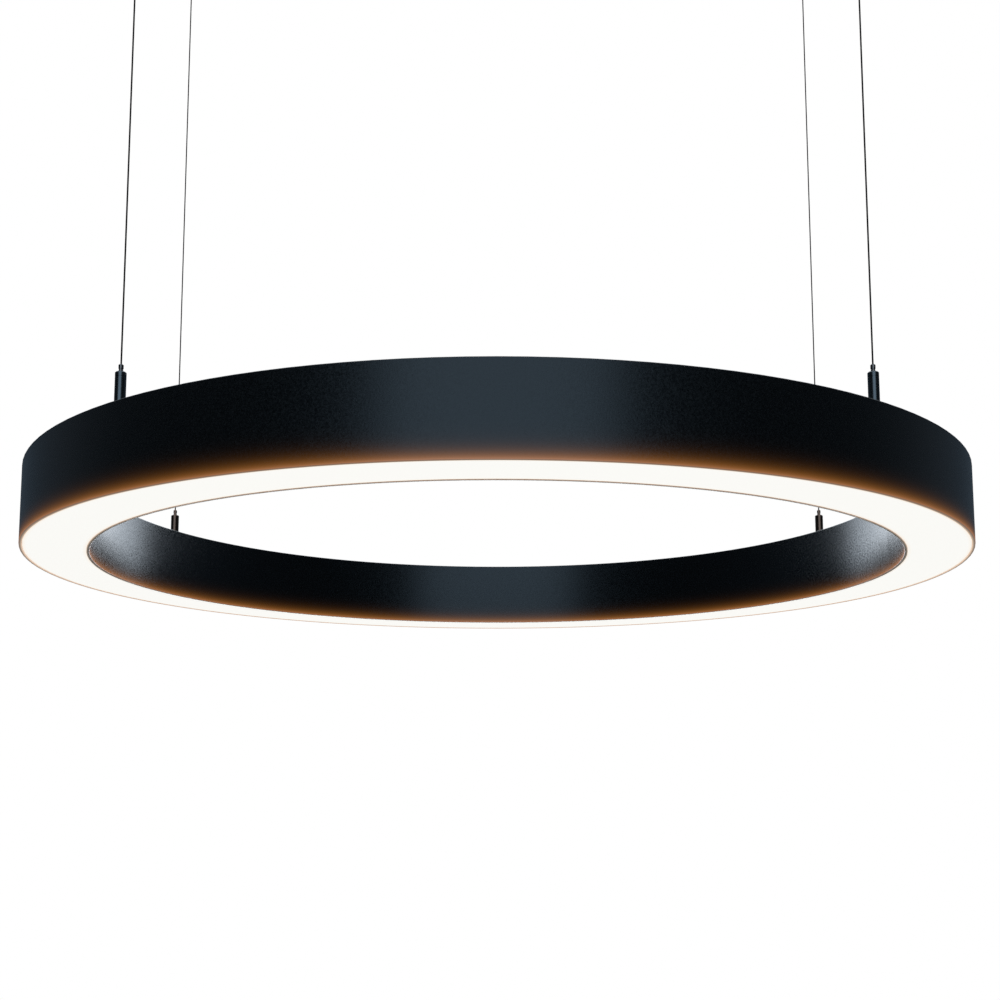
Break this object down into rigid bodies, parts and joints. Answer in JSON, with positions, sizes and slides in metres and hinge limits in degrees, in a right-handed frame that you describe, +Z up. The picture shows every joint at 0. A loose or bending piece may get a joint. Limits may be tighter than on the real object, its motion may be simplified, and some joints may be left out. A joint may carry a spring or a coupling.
{
  "type": "led ring chandelier",
  "caption": "Round black ring chandelier with an opal lit underside, hung level on thin steel wires with adjustable grippers and small ceiling fittings.",
  "frame": {"origin": "on the ring's axis, in the ceiling plane that the fittings are screwed to", "axes": "+Z up, towards the ceiling; -Y towards the front, where the picture was taken from; +X to its right, over the mains inlet"},
  "size_m": [1, 1, 0.865],
  "materials": {
    "black_powder_coat": "fine-grained matt near-black powder coat",
    "black_screw": "black, satin",
    "opal_acrylic": "opal, satin, lit from above",
    "spring_steel": "bright spring steel",
    "white_tray": "white painted, matte",
    "zinc_steel": "zinc plated",
    "white_nylon": "moulded nylon",
    "white_board": "white solder mask",
    "driver_case": "moulded case, matte",
    "lead_sheath": "smooth sheath",
    "black_rubber": "matte",
    "blackened_brass": "blackened, satin",
    "dark_nickel": "dark nickel plated, satin",
    "crimp_aluminium": "crimped",
    "steel_cable": "fine stranded wire",
    "fitting_black": "near-black satin paint"
  },
  "bodies": {
    "ceiling": {"ceiling_base_back_left": "fitting_black", "ceiling_base_back_right": "fitting_black", "ceiling_base_front_left": "fitting_black", "ceiling_base_front_right": "fitting_black", "ceiling_cap_back_left": "fitting_black", "ceiling_cap_back_right": "fitting_black", "ceiling_cap_front_left": "fitting_black", "ceiling_cap_front_right": "fitting_black", "wire_back_left": "steel_cable", "wire_back_right": "steel_cable", "wire_ferrule_back_left": "crimp_aluminium", "wire_ferrule_back_right": "crimp_aluminium", "wire_ferrule_front_left": "crimp_aluminium", "wire_ferrule_front_right": "crimp_aluminium", "wire_front_left": "steel_cable", "wire_front_right": "steel_cable"},
    "ring": {"board_connectors": "white_nylon", "board_screws": "zinc_steel", "diffuser": "opal_acrylic", "diffuser_clips": "spring_steel", "driver_back": "driver_case", "driver_front": "driver_case", "driver_screws": "zinc_steel", "feed_connectors": "white_nylon", "gear_tray": "white_tray", "gripper_body_back_left": "blackened_brass", "gripper_body_back_right": "blackened_brass", "gripper_body_front_left": "blackened_brass", "gripper_body_front_right": "blackened_brass", "gripper_nuts": "zinc_steel", "gripper_spring_back_left": "spring_steel", "gripper_spring_back_right": "spring_steel", "gripper_spring_front_left": "spring_steel", "gripper_spring_front_right": "spring_steel", "gripper_washers": "zinc_steel", "inlet_grommet": "black_rubber", "inner_band": "black_powder_coat", "led_board_1": "white_board", "led_board_2": "white_board", "led_board_3": "white_board", "led_board_4": "white_board", "led_board_5": "white_board", "led_board_6": "white_board", "led_leads": "lead_sheath", "mains_leads": "lead_sheath", "outer_band": "black_powder_coat", "plate_screws": "black_screw", "terminal_block": "white_nylon", "top_plate": "black_powder_coat", "tray_screws": "zinc_steel", "tray_spacers": "zinc_steel"},
    "nose_front_left": {"release_nose_front_left": "dark_nickel", "clamp_balls_front_left": "spring_steel"},
    "nose_front_right": {"release_nose_front_right": "dark_nickel", "clamp_balls_front_right": "spring_steel"},
    "nose_back_left": {"release_nose_back_left": "dark_nickel", "clamp_balls_back_left": "spring_steel"},
    "nose_back_right": {"release_nose_back_right": "dark_nickel", "clamp_balls_back_right": "spring_steel"}
  },
  "joints": [
    {"name": "height_adjust", "type": "slide", "parent": "ceiling", "child": "ring", "axis": [0, 0, 1], "range_m": [-0.025, 0.015]},
    {"name": "nose_press_front_left", "type": "slide", "parent": "ring", "child": "nose_front_left", "axis": [0, 0, -1], "range_m": [0, 0.0025], "stiffness_N_per_m": 800, "deforming": ["gripper_spring_front_left"]},
    {"name": "nose_press_front_right", "type": "slide", "parent": "ring", "child": "nose_front_right", "axis": [0, 0, -1], "range_m": [0, 0.0025], "stiffness_N_per_m": 800, "deforming": ["gripper_spring_front_right"]},
    {"name": "nose_press_back_left", "type": "slide", "parent": "ring", "child": "nose_back_left", "axis": [0, 0, -1], "range_m": [0, 0.0025], "stiffness_N_per_m": 800, "deforming": ["gripper_spring_back_left"]},
    {"name": "nose_press_back_right", "type": "slide", "parent": "ring", "child": "nose_back_right", "axis": [0, 0, -1], "range_m": [0, 0.0025], "stiffness_N_per_m": 800, "deforming": ["gripper_spring_back_right"]}
  ]
}
